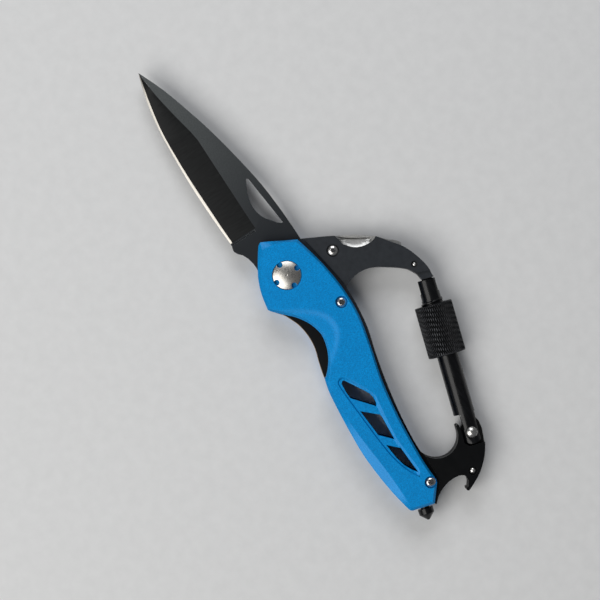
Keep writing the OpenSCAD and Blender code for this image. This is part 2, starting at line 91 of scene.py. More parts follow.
THREAD_R = 3.85
THREAD_ROOT_R = 3.42
THREAD_PITCH = 1.5
FIELD_DEPTH = 0.55
FACET_H = 0.9


def place(x, y, z=0.0):
    """A point of the drawing, in millimetres, as a point of the frame, in metres."""
    return ORIGIN + Vector((x, y, z)) * MM


def gate_matrix(u=0.0):
    """Local Z along the gate from the hinge to the nose, local Y towards the handle."""
    turn = Matrix.Rotation(GATE_ANGLE, 4, "Z")
    shift = Matrix.Translation((u * MM, ROD_V * MM, 0))
    lay = Matrix.Rotation(math.pi / 2, 4, "Y")
    return Matrix.Translation(place(HINGE[0], HINGE[1], MID)) @ turn @ shift @ lay


# ---------------------------------------------------------------- outlines
def blend_point(a, b, c, d, t):
    """One point of a Catmull-Rom curve between b and c."""
    return tuple((2 * b[k] + (c[k] - a[k]) * t + (2 * a[k] - 5 * b[k] + 4 * c[k] - d[k]) * t * t
                  + (3 * b[k] - a[k] - 3 * c[k] + d[k]) * t ** 3) / 2 for k in (0, 1))


def curve(points, steps=6):
    """A smooth curve through the points, both ends included."""
    last = len(points) - 1
    out = []
    for i in range(last):
        quad = (points[max(i - 1, 0)], points[i], points[i + 1], points[min(i + 2, last)])
        out += [blend_point(*quad, k / steps) for k in range(steps)]
    return out + [tuple(points[last])]


def joined(stretches, steps=6):
    """Curved stretches joined at sharp corners into one closed outline."""
    return [p for s in stretches for p in curve(s, steps)[:-1]]


def inset(points, d):
    """The outline moved by d towards its left-hand side, corner by corner."""
    out = []
    n = len(points)
    for i in range(n):
        p, q, r = (Vector(points[j % n]) for j in (i - 1, i, i + 1))
        e = (q - p).normalized()
        f = (r - q).normalized()
        normal = Vector((-(e.y + f.y), e.x + f.x)).normalized()
        reach = d / max(0.5, normal.dot(Vector((-e.y, e.x))))
        out.append(tuple(q + normal * reach))
    return out


def ccw(points):
    area = sum(p[0] * q[1] - q[0] * p[1] for p, q in zip(points, points[1:] + points[:1]))
    return points if area > 0 else points[::-1]


HEAD_SIDE = [(14.4, 1.5), (13.2, -0.9), (10.9, -5.0), (8.6, -9.3)]
SPINE = [(8.6, -9.3), (0, -11.4), (-8, -12.7), (-16, -13.15), (-24, -12.6), (-34, -10.35),
         (-46, -7.3), (-60, -5.3), (-74, -4.4), (-82, -4.65)]
BUTT = [(-82, -4.65), (-83, -4.3), (-88.3, 0.1), (-86.4, 7.3), (-86, 7.9)]
EDGE = [(-85, 8.3), (-78, 9.65), (-70, 10.6), (-62, 11.0), (-54, 10.65), (-46, 10.0),
        (-39, 9.2), (-35, 8.2)]
DEEP_GROOVE = [(-35, 8.2), (-32.3, 5.45), (-29, 3.1), (-25.5, 1.7), (-21.9, 1.1),
               (-18.5, 1.75), (-15.4, 3.1), (-12.4, 5.15), (-9.4, 8.1), (-6.8, 10.5), (-5.5, 11.4)]
SHALLOW_GROOVE = [(-35, 8.2), (-32.5, 7.7), (-28.5, 6.6), (-25, 5.5), (-21.5, 5.05),
                  (-18, 5.2), (-15, 5.8), (-12.5, 6.8), (-10, 8.0), (-7.6, 9.9), (-5.5, 11.4)]
HEAD_TOP = [(-5.5, 11.4), (0, 10.3), (5, 8.35), (10, 5.25), (13.4, 2.85), (14.4, 1.5)]

# The same outline at the face, inside the facets, point for point
HEAD_SIDE_FACE = [(11.8, 2.4), (11.7, 0), (10.4, -4.8), (7.9, -8.6)]
SPINE_FACE = [(7.9, -8.6), (0, -10.75), (-8, -12.05), (-16, -12.5), (-24, -11.95),
              (-34, -9.7), (-46, -6.65), (-60, -4.65), (-74, -3.75), (-81.8, -3.95)]
BUTT_FACE = [(-81.8, -3.95), (-82.7, -3.6), (-87.4, 0.4), (-85.7, 6.5), (-85.4, 6.9)]
EDGE_FACE = [(-85, 7.2), (-78, 7.15), (-70, 7.5), (-62, 8.2), (-54, 8.8), (-46, 9.0),
             (-39.5, 8.4), (-36, 7.6)]
DEEP_GROOVE_FACE = [(-36, 7.6), (-32.9, 4.9), (-29.4, 2.5), (-25.7, 1.05), (-21.8, 0.45),
                    (-18.2, 1.1), (-14.9, 2.5), (-11.9, 4.6), (-9.0, 7.3), (-6.6, 9.6),
                    (-5.4, 10.4)]
SHALLOW_GROOVE_FACE = [(-36, 7.6), (-32.7, 7.1), (-28.7, 5.95), (-25.1, 4.9), (-21.5, 4.45),
                       (-17.9, 4.6), (-14.8, 5.2), (-12.2, 6.2), (-9.7, 7.4), (-7.3, 9.1),
                       (-5.4, 10.4)]
HEAD_TOP_FACE = [(-5.4, 10.4), (-0.3, 9.3), (4.4, 7.5), (9.0, 4.6), (11.2, 3.1), (11.8, 2.4)]


def scale_outline(head_side, spine, butt, edge, groove, head_top):
    return joined([head_side, spine]) + butt + joined([edge, groove, head_top])


WINDOWS = [
    [(-38.2, 3.6), (-38.9, 4.35), (-42.1, 4.6), (-44.3, 4.5), (-44.8, 4.2), (-51.2, -1.2),
     (-50, -1.85), (-48.1, -1.95), (-46.4, -1.6), (-45, -0.85), (-38.4, 3.0)],
    [(-49.7, 4.1), (-59.5, 3.4), (-63.5, -0.3), (-55.3, -0.9), (-54.1, -0.7)],
    [(-63.6, 2.95), (-66.2, 2.75), (-69.1, 2.4), (-72.3, 1.65), (-75, 0.35), (-76.7, -1.0),
     (-67, -0.5)]]
WINDOW_FIELD = joined([
    [(-37.0, 3.7), (-37.7, 5.0), (-40, 5.5), (-50, 5.0), (-60, 4.4), (-68.7, 3.4),
     (-75.1, 1.4), (-78.2, -0.5)],
    [(-78.2, -0.5), (-76, -1.75), (-70, -1.45), (-65, -1.1), (-60, -1.45), (-52, -2.4),
     (-49, -2.85), (-47.1, -2.6), (-41.4, -0.1), (-38.6, 1.5), (-37.3, 2.7), (-37.0, 3.7)]], 4)
SCREWS = [(-16.4, -10.2), (-81.7, -2.6)]
TOOL_PIVOT = (-0.75, -17.1)


# ---------------------------------------------------------------- mesh helpers
def new_piece(name, bm):
    mesh = bpy.data.meshes.new(name)
    bm.to_mesh(mesh)
    bm.free()
    piece = bpy.data.objects.new(name, mesh)
    bpy.context.scene.collection.objects.link(piece)
    return piece


def loft(name, rings):
    """A closed skin between rings of equal counts; each ring is ([(x, y)], z) in millimetres."""
    bm = bmesh.new()
    rows = [[bm.verts.new(place(x, y, z)) for x, y in ring] for ring, z in rings]
    n = len(rows[0])
    for low, high in zip(rows, rows[1:]):
        for i in range(n):
            j = (i + 1) % n
            bm.faces.new((low[i], low[j], high[j], high[i]))
    bm.faces.new(rows[0][::-1])
    bm.faces.new(rows[-1])
    bmesh.ops.recalc_face_normals(bm, faces=bm.faces)
    return new_piece(name, bm)


def prism(name, points, z0, z1):
    points = ccw(list(points))
    return loft(name, [(points, z0), (points, z1)])


def disc(radius, sides=48):
    return [(radius * math.cos(2 * math.pi * i / sides),
             radius * math.sin(2 * math.pi * i / sides)) for i in range(sides)]


def moved(points, at):
    return [(x + at[0], y + at[1]) for x, y in points]


def lobes(radius, depth=0.17, sides=48):
    """Outline of a six-lobed screwdriver recess."""
    return [(radius * (1 - depth + depth * math.cos(6 * t)) * math.cos(t),
             radius * (1 - depth + depth * math.cos(6 * t)) * math.sin(t))
            for t in (2 * math.pi * i / sides for i in range(sides))]


def evaluated(piece):
    """Apply the piece's modifiers to its own mesh."""
    graph = bpy.context.evaluated_depsgraph_get()
    graph.update()
    mesh = bpy.data.meshes.new_from_object(piece.evaluated_get(graph))
    piece.modifiers.clear()
    piece.data = mesh
    return piece


def carve(piece, cutters):
    """Cut the cutters out of the piece, one by one."""
    for cutter in cutters:
        m = piece.modifiers.new("cut", "BOOLEAN")
        m.operation = "DIFFERENCE"
        m.solver = "MANIFOLD"
        m.object = cutter
        evaluated(piece)
        bpy.data.objects.remove(cutter)
    return piece


def tidy(piece, merge=0.02, flat=0.6):
    """Merge close points and flat neighbours, so that a bevel runs cleanly."""
    bm = bmesh.new()
    bm.from_mesh(piece.data)
    bmesh.ops.remove_doubles(bm, verts=bm.verts, dist=merge * MM)
    bmesh.ops.dissolve_limit(bm, angle_limit=math.radians(flat), verts=bm.verts, edges=bm.edges)
    bm.to_mesh(piece.data)
    bm.free()
    return piece


def bevelled(piece, width, segments=2, angle=28, wear_and_highlight_slot=0):
    """Break the sharp edges by width, in millimetres; the new faces get the slot for worn edges,
    which on the lock bar holds a painted highlight.
    """
    while len(piece.data.materials) <= wear_and_highlight_slot:
        piece.data.materials.append(None)
    m = piece.modifiers.new("edges", "BEVEL")
    m.width = width * MM
    m.segments = segments
    m.limit_method = "ANGLE"
    m.angle_limit = math.radians(angle)
    m.use_clamp_overlap = True
    m.harden_normals = False
    m.material = wear_and_highlight_slot
    return evaluated(piece)


def round_edges(piece, width, segments=2, angle=28, wear_and_highlight_slot=0):
    """Break the sharp edges and shade the rest smooth."""
    return smooth(bevelled(piece, width, segments, angle, wear_and_highlight_slot))


def smooth(piece, angle=32):
    piece.data.shade_smooth()
    bm = bmesh.new()
    bm.from_mesh(piece.data)
    limit = math.radians(angle)
    for edge in bm.edges:
        edge.smooth = len(edge.link_faces) != 2 or edge.calc_face_angle(0) < limit
    bm.to_mesh(piece.data)
    bm.free()
    m = piece.modifiers.new("normals", "WEIGHTED_NORMAL")
    m.keep_sharp = True
    m.weight = 80
    return evaluated(piece)


def copy_of(node, name):
    """A new piece with the same mesh as a CAD node, ready for finer work."""
    piece = bpy.data.objects.new(name, NODES[node].data.copy())
    bpy.context.scene.collection.objects.link(piece)
    piece.data.materials.clear()
    return tidy(piece)


def dress(piece, body, slot, materials, *nodes):
    """Give the piece its materials and its body, and hide the CAD nodes that it stands for."""
    slots = piece.data.materials
    while len(slots) < len(materials):
        slots.append(None)
    for k, m in enumerate(materials):
        slots[k] = m
    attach(piece, body)
    if nodes:
        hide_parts(*nodes)
    return piece


def turned(name, profile, matrix, sides=64):
    """A body of revolution: profile is [(radius, height)] in millimetres along local Z."""
    bm = bmesh.new()
    rows = []
    for r, z in profile:
        if r < 1e-6:
            rows.append([bm.verts.new((0, 0, z * MM))])
        else:
            rows.append([bm.verts.new((x * MM, y * MM, z * MM)) for x, y in disc(r, sides)])
    for low, high in zip(rows, rows[1:]):
        for i in range(sides):
            j = (i + 1) % sides
            quad = [low[i % len(low)], low[j % len(low)], high[j % len(high)], high[i % len(high)]]
            face = [v for k, v in enumerate(quad) if v not in quad[:k]]
            if len(face) > 2:
                bm.faces.new(face)
    for row in (rows[0], rows[-1]):
        if len(row) > 1 and rows[0] is not rows[-1]:
            bm.faces.new(row)
    bmesh.ops.recalc_face_normals(bm, faces=bm.faces)
    bm.transform(matrix)
    return new_piece(name, bm)


# ---------------------------------------------------------------- material helpers
class Graph:
    """A short way to write one material's nodes."""

    def __init__(self, name, **shader):
        self.material = bpy.data.materials.new(name)
        self.material.use_nodes = True
        self.nodes = self.material.node_tree.nodes
        self.links = self.material.node_tree.links
        self.shader = self.nodes["Principled BSDF"]
        for key, value in shader.items():
            self.shader.inputs[key.replace("_", " ")].default_value = value
        self.coords = self.nodes.new("ShaderNodeTexCoord").outputs["Object"]

    def add(self, kind, inputs=None, **settings):
        node = self.nodes.new("ShaderNode" + kind)
        for key, value in settings.items():
            setattr(node, key, value)
        for key, value in (inputs or {}).items():
            socket = node.inputs[key]
            if hasattr(value, "links"):
                self.links.new(value, socket)
            else:
                socket.default_value = value
        return node

    def noise(self, size_mm, stretch=(1, 1, 1), detail=3.0):
        scale = [s / (size_mm * MM) for s in stretch]
        mapped = self.add("Mapping", {"Vector": self.coords, "Scale": scale}).outputs[0]
        return self.add("TexNoise", {"Vector": mapped, "Scale": 1.0,
                                     "Detail": detail}).outputs["Fac"]

    def ramp(self, value, stops):
        node = self.add("ValToRGB", {"Fac": value})
        band = node.color_ramp
        while len(band.elements) > 1:
            band.elements.remove(band.elements[-1])
        for k, (at, colour) in enumerate(stops):
            element = band.elements[0] if k == 0 else band.elements.new(at)
            element.position = at
            element.color = tuple(colour) + (1.0,)
        return node.outputs["Color"]

    def span(self, value, low, high, out_low, out_high):
        return self.add("MapRange", {"Value": value, "From Min": low, "From Max": high,
                                     "To Min": out_low, "To Max": out_high}).outputs["Result"]

    def mix(self, factor, a, b):
        node = self.add("Mix", data_type="RGBA")
        for socket, value in zip((node.inputs[0], node.inputs[6], node.inputs[7]), (factor, a, b)):
            if hasattr(value, "links"):
                self.links.new(value, socket)
            else:
                socket.default_value = value if isinstance(value, float) else tuple(value) + (1.0,)
        return node.outputs[2]

    def colour(self, socket):
        self.links.new(socket, self.shader.inputs["Base Color"])
        return self

    def rough(self, socket):
        self.links.new(socket, self.shader.inputs["Roughness"])
        return self

    def bump(self, height, strength, distance_mm):
        node = self.add("Bump", {"Height": height, "Strength": strength,
                                 "Distance": distance_mm * MM})
        self.links.new(node.outputs[0], self.shader.inputs["Normal"])
        return self


def blue_flake(name="blue_flake", deep=(0.0, 0.205, 0.54), lit=(0.0, 0.37, 0.88)):
    """Blue anodised aluminium with a fine metallic grain."""
    g = Graph(name, Metallic=0.38, Specular_IOR_Level=0.0, Coat_Weight=0.4, Coat_Roughness=0.3)
    grain = g.noise(0.3, detail=2.0)
    cloud = g.noise(9.0, detail=3.0)
    base = g.ramp(grain, [(0.32, deep), (0.52, [(a + b) / 2 for a, b in zip(deep, lit)]),
                          (0.70, lit)])
    shade = g.mix(g.span(cloud, 0.35, 0.7, 0.0, 0.25), base, deep)
    g.colour(shade)
    g.rough(g.span(grain, 0.3, 0.7, 0.5, 0.64))
    g.bump(grain, 0.3, 0.06)
    return g.material


def blue_edge():
    """Broken edge of the scale, a little brighter where the coat is thin."""
    return blue_flake("blue_edge", deep=(0.02, 0.31, 0.68), lit=(0.07, 0.50, 0.94))


def dark_coat(name, near, far, rough=0.42, worn=False):
    """Dark coating on steel; near the head it reads greyer than at the butt."""
    g = Graph(name, Metallic=0.15, Specular_IOR_Level=0.14)
    along = g.add("SeparateXYZ", {"Vector": g.coords}).outputs["X"]
    reach = g.span(along, place(-62, 0).x, place(-30, 0).x, 0.0, 1.0)
    mottled = g.noise(1.4, detail=5.0)
    base = g.mix(reach, far, near)
    g.colour(g.mix(g.span(mottled, 0.35, 0.75, 0.0, 0.22 if not worn else 0.6), base,
                   [c * 0.55 for c in far]))
    g.rough(g.span(g.noise(3.0), 0.3, 0.7, rough - 0.06, rough + 0.08))
    g.bump(g.noise(0.28, detail=2.0), 0.22, 0.03)
    return g.material


def steel(name, tone=(0.62, 0.62, 0.60), rough=0.16, grain=(1, 1, 1), size=0.4, depth=0.04):
    """Bright steel with fine tool marks along one direction."""
    g = Graph(name, Metallic=1.0)
    marks = g.noise(size, stretch=grain, detail=4.0)
    g.colour(g.ramp(marks, [(0.25, [c * 0.82 for c in tone]), (0.6, tone)]))
    g.rough(g.span(marks, 0.3, 0.7, rough, rough + 0.1))
    g.bump(marks, depth, 0.03)
    return g.material


def black_gloss(name, tone=(0.003, 0.0032, 0.004), rough=0.2):
    g = Graph(name, Specular_IOR_Level=0.15, Coat_Weight=0.3, Coat_Roughness=0.18)
    scuffs = g.noise(1.1, stretch=(0.25, 1, 1), detail=6.0)
    g.colour(g.ramp(scuffs, [(0.45, tone), (0.8, [c * 2.4 for c in tone])]))
    g.rough(g.span(scuffs, 0.35, 0.75, rough, rough + 0.2))
    g.bump(scuffs, 0.12, 0.02)
    return g.material


def blade_ground():
    """Near-black ground face with faint grinding lines across the blade."""
    g = Graph("blade_ground", Metallic=0.1, Specular_IOR_Level=0.16)
    lines = g.noise(0.5, stretch=(1.0, 0.03, 1.0), detail=4.0)
    g.colour(g.ramp(lines, [(0.3, (0.006, 0.0065, 0.007)), (0.7, (0.011, 0.012, 0.0125))]))
    g.rough(g.span(lines, 0.3, 0.7, 0.38, 0.46))
    g.bump(lines, 0.05, 0.02)
    return g.material


def blade_flat():
    """Satin grey flat of the blade, finely stoned along its length, lighter to the tip."""
    g = Graph("blade_flat", Metallic=0.3, Specular_IOR_Level=0.2)
    along = g.add("SeparateXYZ", {"Vector": g.coords}).outputs["X"]
    reach = g.span(along, place(16, 0).x, place(80, 0).x, 0.0, 1.0)
    stone = g.noise(0.35, detail=4.0)
    base = g.mix(reach, (0.022, 0.025, 0.029), (0.112, 0.122, 0.124))
    g.colour(g.mix(g.span(stone, 0.35, 0.7, 0.0, 0.35), base, (0.020, 0.023, 0.026)))
    g.rough(g.span(stone, 0.3, 0.7, 0.36, 0.5))
    g.bump(stone, 0.18, 0.03)
    return g.material


def rubber():
    g = Graph("seal_rubber")
    pores = g.noise(0.3)
    g.colour(g.ramp(pores, [(0.3, (0.010, 0.010, 0.010)), (0.7, (0.022, 0.022, 0.022))]))
    g.rough(g.span(pores, 0.3, 0.7, 0.6, 0.8))
    return g.material


def bronze():
    return steel("washer_bronze", tone=(0.50, 0.28, 0.12), rough=0.3)


def pale_floor():
    g = Graph("pale_floor")
    fibre = g.noise(4.0, detail=4.0)
    g.colour(g.ramp(fibre, [(0.3, (0.74, 0.745, 0.75)), (0.7, (0.78, 0.785, 0.79))]))
    g.rough(g.span(fibre, 0.3, 0.7, 0.6, 0.72))
    return g.material


# ---------------------------------------------------------------- scales
def sunk_field(z_floor, z_mouth):
    """Cutter with sloping walls for the field round the windows."""
    mouth = ccw(WINDOW_FIELD)
    slope = 0.72
    out = 0.2
    side = 1 if z_mouth > z_floor else -1
    beyond = z_mouth + side * out
    floor = moved(inset(mouth, slope), (0.12, 0.36))
    rings = [(floor, z_floor), (mouth, z_mouth), (mouth, beyond)]
    return loft("field_cutter", rings)


def thumb_ramp(piece):
    """Sink the face softly towards the finger groove, deepest at the groove's edge."""
    apex = (-21.0, -5.5)
    step = 0.6
    bm = bmesh.new()
    bm.from_mesh(piece.data)
    cuts = [((1, 0, 0), place(-38 + step * k, 0)) for k in range(56)]
    cuts += [((0, 1, 0), place(0, apex[1] + step * k)) for k in range(30)]
    for normal, spot in cuts:
        near = [v for v in bm.verts if v.co.z > place(0, 0, SCALE_FOOT + 1).z]
        edges = {e for v in near for e in v.link_edges}
        faces = {f for e in edges for f in e.link_faces}
        whole = list(faces) + list({e for f in faces for e in f.edges})
        whole += list({v for f in faces for v in f.verts})
        bmesh.ops.bisect_plane(bm, geom=whole, dist=1e-7, plane_co=spot, plane_no=normal)
    for v in bm.verts:
        x, y, z = (v.co - ORIGIN) / MM
        along = y - apex[1]
        inside = along - ((x - apex[0]) / 3.55) ** 2
        if inside > 0 and z > SCALE_FOOT:
            t = min(1.0, inside / 2.6)
            sink = 0.2 * t * t * (3 - 2 * t) + 0.04 * inside
            share = min(1.0, (z - SCALE_FOOT) / SCALE_T)
            v.co.z -= sink * share * MM
    bm.to_mesh(piece.data)
    bm.free()
    return piece


def scale_piece(name, groove, groove_face, front):
    foot = ccw(scale_outline(HEAD_SIDE, SPINE, BUTT, EDGE, groove, HEAD_TOP))
    face = ccw(scale_outline(HEAD_SIDE_FACE, SPINE_FACE, BUTT_FACE, EDGE_FACE, groove_face,
                             HEAD_TOP_FACE))
    heights = (SCALE_FOOT, TOP - FACET_H, TOP) if front else (SCALE_T, FACET_H, 0.0)
    outer = heights[2]
    inward = -1 if front else 1
    piece = loft(name, list(zip((foot, foot, face), heights)))
    cutters = [sunk_field(outer + inward * FIELD_DEPTH, outer)]
    cutters += [prism("window_cutter", w, -2, TOP + 2) for w in WINDOWS]
    z0, z1 = sorted((outer + inward * 1.6, outer - inward * 3))
    cutters.append(prism("pocket_cutter", moved(disc(4.85, 96), PIVOT), z0, z1))
    z0, z1 = sorted((outer + inward * 1.4, outer - inward * 3))
    cutters += [prism("pocket_cutter", moved(disc(2.0, 64), at), z0, z1) for at in SCREWS]
    carve(piece, cutters)
    tidy(piece, flat=0.15)
    bevelled(piece, 0.16, angle=12, wear_and_highlight_slot=1)
    if front:
        thumb_ramp(piece)
    return smooth(piece)


blue = blue_flake()
blue_worn = blue_edge()
front_scale = scale_piece("front_scale_skin", DEEP_GROOVE, DEEP_GROOVE_FACE, True)
dress(front_scale, "handle", "scale", [blue, blue_worn], "front_scale")
rear_scale = scale_piece("rear_scale_skin", SHALLOW_GROOVE, SHALLOW_GROOVE_FACE, False)
dress(rear_scale, "handle", "scale", [blue, blue_worn], "rear_scale")

# ---------------------------------------------------------------- liners, spacers, lock
coat = dark_coat("liner_coat", (0.034, 0.038, 0.044), (0.0012, 0.0016, 0.0022))
coat_worn = dark_coat("liner_coat_worn", (0.09, 0.095, 0.10), (0.085, 0.085, 0.085), 0.3, True)
core = dark_coat("core_coat", (0.006, 0.0065, 0.007), (0.003, 0.003, 0.0035), 0.5)
for node in ("front_liner", "rear_liner"):
    plate = round_edges(copy_of(node, node + "_skin"), 0.22, wear_and_highlight_slot=1)
    dress(plate, "handle", "liner", [coat, coat_worn], node)
for node in ("spine_strip", "arm_spacer", "hinge_spacer", "breaker_block"):
    plate = round_edges(copy_of(node, node + "_skin"), 0.12, wear_and_highlight_slot=0)
    dress(plate, "handle", "spacer", [core], node)
# Bronze-toned painted highlight on the lock bar's broken edges, standing in for light catching the
# plate's edge.
lock_edge_highlight = steel("lock_edge_painted_glint", tone=(0.20, 0.14, 0.08), rough=0.3)
lock = round_edges(copy_of("lock_bar", "lock_bar_skin"), 0.16, wear_and_highlight_slot=1)
dress(lock, "lock_bar", "liner", [core, lock_edge_highlight], "lock_bar")

# ---------------------------------------------------------------- blade
BEVEL_LINE = curve([(19.4, 8.9), (30, 9.2), (42, 9.3), (54, 9.05), (64, 8.3), (74, 6.7),
                    (82.8, 4.8)], 8)
GRIND_LINE = curve([(19.4, 0.2), (30, 0.57), (42, 0.4), (54, 0.35), (64, 2.2), (74, 3.95),
                    (82.6, 4.68)], 8)


def line_y(line, x):
    for (x0, y0), (x1, y1) in zip(line, line[1:]):
        if x0 <= x <= x1:
            return y0 + (y1 - y0) * (x - x0) / (x1 - x0)
    return line[0][1] if x < line[0][0] else line[-1][1]


def bevel_y(x):
    """Where the cutting bevel starts: a little nearer the edge than in the CAD."""
    return line_y(BEVEL_LINE, x) + 0.36 * max(0.0, min(1.0, (80 - x) / 16))


def blade_piece():
    """Flat, ground face and cutting bevel, told apart by where each face lies."""
    piece = copy_of("blade", "blade_skin")
    for v in piece.data.vertices:
        spot = (v.co - ORIGIN) / MM
        if spot.x > 19.3 and abs(spot.y - line_y(BEVEL_LINE, spot.x)) < 0.05:
            v.co.y = place(0, bevel_y(spot.x)).y
    round_edges(piece, 0.12, angle=40, wear_and_highlight_slot=3)
    for face in piece.data.polygons:
        spot = (face.center - ORIGIN) / MM
        if spot.x < 19.35 or face.material_index == 3 and spot.y < line_y(GRIND_LINE, spot.x):
            continue
        if spot.y > bevel_y(spot.x):
            face.material_index = 2
        elif spot.y > line_y(GRIND_LINE, spot.x):
            face.material_index = 1
    return piece


edge_steel = steel("edge_steel", tone=(0.66, 0.63, 0.58), rough=0.44, grain=(1, 0.05, 1),
                   size=0.5, depth=0.01)
spine_worn = steel("spine_worn", tone=(0.30, 0.31, 0.32), rough=0.3)
dress(blade_piece(), "blade", "blade", [blade_flat(), blade_ground(), edge_steel, spine_worn],
      "blade")

# ---------------------------------------------------------------- screws and pins
bright = steel("bright_steel", tone=(0.68, 0.67, 0.65), rough=0.2, depth=0.015)
satin = steel("satin_steel", tone=(0.56, 0.54, 0.505), rough=0.25, depth=0.01)
dull = steel("dull_steel", tone=(0.42, 0.42, 0.42), rough=0.34)
# Darker steel for the faces inside screw recesses: painted shade where the recess is deep.
recess_shade_steel = steel("recess_painted_shade", tone=(0.12, 0.12, 0.125), rough=0.3)


def facing(at, z, up):
    """Local Z out of the face that a screw sits in."""
    turn = Matrix.Identity(4) if up else Matrix.Rotation(math.pi, 4, "X")
    return Matrix.Translation(place(at[0], at[1], z)) @ turn


def domed(radius, height, steps=10, skirt=0.4):
    """Profile of a low domed head, from the foot to the middle of the dome."""
    rise = height * (1 - skirt)
    ball = (radius * radius + rise * rise) / (2 * rise)
    edge = math.asin(radius / ball)
    out = [(0.0, 0.0), (radius - 0.08, 0.0), (radius, 0.08), (radius, height * skirt)]
    out += [(ball * math.sin(t), height - ball * (1 - math.cos(t)))
            for t in (edge * (1 - k / steps) for k in range(1, steps))]
    return out + [(0.0, height)]


def recess_cutter(radius, z0, z1, matrix):
    cutter = loft("recess_cutter", [(lobes(radius), 0.0), (lobes(radius), z1 - z0)])
    cutter.data.transform(Matrix.Translation(-ORIGIN))
    cutter.data.transform(matrix @ Matrix.Translation((0, 0, z0 * MM)))
    return cutter


def paint_recess_shade(head, at, radius, top, seat, up):
    """Give the second slot, a painted shade, to the faces inside a recess, below the top of the
    head.
    """
    while len(head.data.materials) < 2:
        head.data.materials.append(None)
    for face in head.data.polygons:
        spot = (face.center - place(at[0], at[1], seat)) / MM
        height = spot.z if up else -spot.z
        if math.hypot(spot.x, spot.y) < radius + 0.02 and 0.1 < height < top:
            face.material_index = 1


def screw_piece(name, at, z, up, radius, height, recess, shank_r, shank):
    where = facing(at, z, up)
    head = turned(name, domed(radius, height), where, sides=64)
    carve(head, [recess_cutter(recess, 0.25, height + 1, where)])
    # Painted shade on the faces inside the lobed recess.
    paint_recess_shade(head, at, recess, height - 0.12, z, up)
    shaft = turned(name + "_shank", [(0, -shank), (shank_r - 0.15, -shank),
                                     (shank_r, -shank + 0.15), (shank_r, 0.02), (0, 0.02)],
                   where, sides=32)
    return join([bevelled(head, 0.06, angle=35), shaft], name)


def join(pieces, name):
    """One mesh from several."""
    bm = bmesh.new()
    for piece in pieces:
        bm.from_mesh(piece.data)
        bpy.data.objects.remove(piece)
    return smooth(new_piece(name, bm))


def screws(name, node, up, seat):
    parts = [screw_piece(f"{name}_{k}", at, seat, up, 1.8, 1.2, 0.98, 1.0, 5.0)
             for k, at in enumerate(SCREWS)]
    dress(join(parts, name), "handle", "hardware", [bright, recess_shade_steel], node)


screws("front_screw_heads", "front_screws", True, TOP - 1.4)
screws("rear_screw_heads", "rear_screws", False, 1.4)
tool_seat = LINER_TOP - 0.8
dress(screw_piece("tool_screw_head", TOOL_PIVOT, tool_seat, True, 1.7, 0.95, 0.9, 1.0, 5.0),
      "handle", "hardware", [bright, recess_shade_steel], "tool_screw")


def pivot_head(name, node, up, seat, height, skirt, shank_r, shank, inner):
    """Domed pivot head with four half-round notches in its rim."""
    radius = 4.7
    where = facing(PIVOT, seat, up)
    head = turned(name, domed(radius, height, 16, skirt), where, sides=128)
    notches = []
    for k in range(4):
        turn = math.radians(3 + 90 * k)
        spot = (radius - 0.6) * Vector((math.cos(turn), math.sin(turn)))
        notch = prism("notch_cutter", moved(disc(0.95, 40), spot), -0.2, 4.0)
        notch.data.transform(Matrix.Translation(-ORIGIN))
        notch.data.transform(where)
        notches.append(notch)
    dimple = turned("dimple_cutter", [(0, 0), (0.55, 0.5), (0.55, 2), (0, 2)],
                    where @ Matrix.Translation((0, 0, (height - 0.35) * MM)), sides=32)
    carve(head, notches + [dimple])
    shaft = turned(name + "_shank", inner if inner else [
        (0, -shank), (shank_r, -shank), (shank_r, 0.02), (0, 0.02)], where, sides=64)
    piece = join([bevelled(head, 0.07, angle=35), shaft], name)
    dress(piece, "handle", "hardware", [satin], node)


pivot_head("pivot_screw_head", "pivot_screw", True, TOP - 1.6, 2.1, 0.62, 1.5, 6.0, None)
barrel_top = TOP - 1.7
barrel = [(1.62, -(barrel_top - 1.6)), (2.5, -(barrel_top - 1.6)), (2.5, 0.02), (1.62, 0.02),
          (1.62, -(barrel_top - 1.6))]
pivot_head("pivot_barrel_head", "pivot_barrel", False, 1.6, 1.4, 0.62, 2.5, 9.0, barrel)


def domed_pin(node, at, shank_r, shank_z, head_r, head_z, height):
    """A pin with a domed head at both ends, the same above and below the middle."""
    parts = [prism(node, moved(disc(shank_r, 40), at), MID - shank_z, MID + shank_z)]
    for up in (True, False):
        where = facing(at, MID + (head_z if up else -head_z), up)
        parts.append(turned(node, domed(head_r, height, 10, 0.2), where, sides=48))
    dress(join(parts, node + "_skin"), "handle", "hardware", [bright], node)


domed_pin("arm_pin", (-19.1, -37.1), 0.9, 3.1, 0.9, 3.0, 0.5)
domed_pin("opener_pin", (-86.3, -16.3), 1.0, 3.5, 1.0, 3.4, 0.55)
domed_pin("gate_rivet", HINGE, 1.25, 3.15, 1.9, 3.15, 1.0)
for node in ("stop_pin", "standoffs", "tool_barrel", "detent_ball", "gate_plunger"):
    body = NODES[node]["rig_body"]
    part = copy_of(node, node + "_skin")
    part = round_edges(part, 0.09, angle=40)
    dress(part, body, "hardware", [dull], node)
for node in ("pivot_washers", "tool_washers"):
    NODES[node].data.materials.clear()
    NODES[node].data.materials.append(bronze())

# ---------------------------------------------------------------- driver, breaker
driver_steel = steel("driver_steel", tone=(0.56, 0.56, 0.55), rough=0.34, size=0.5, depth=0.02)
NICK_ARC = curve([(1.3, -20.5), (-0.8, -21.0), (-3.3, -23.1), (-4.7, -25.6), (-5.2, -28.6),
                  (-4.6, -29.6)])
NICK_WALL = ((-3.7, -29.6), (1.9, -21.2))


def nick_ring(reach):
    """The nick's outline, with its arc drawn in towards the straight wall."""
    (x0, y0), (x1, y1) = NICK_WALL
    ring = []
    for k, (x, y) in enumerate(NICK_ARC):
        t = 1 - k / (len(NICK_ARC) - 1)
        wx, wy = x0 + (x1 - x0) * t, y0 + (y1 - y0) * t
        ring.append((x + (wx - x) * reach, y + (wy - y) * reach))
    return ring + [NICK_WALL[0], NICK_WALL[1]]


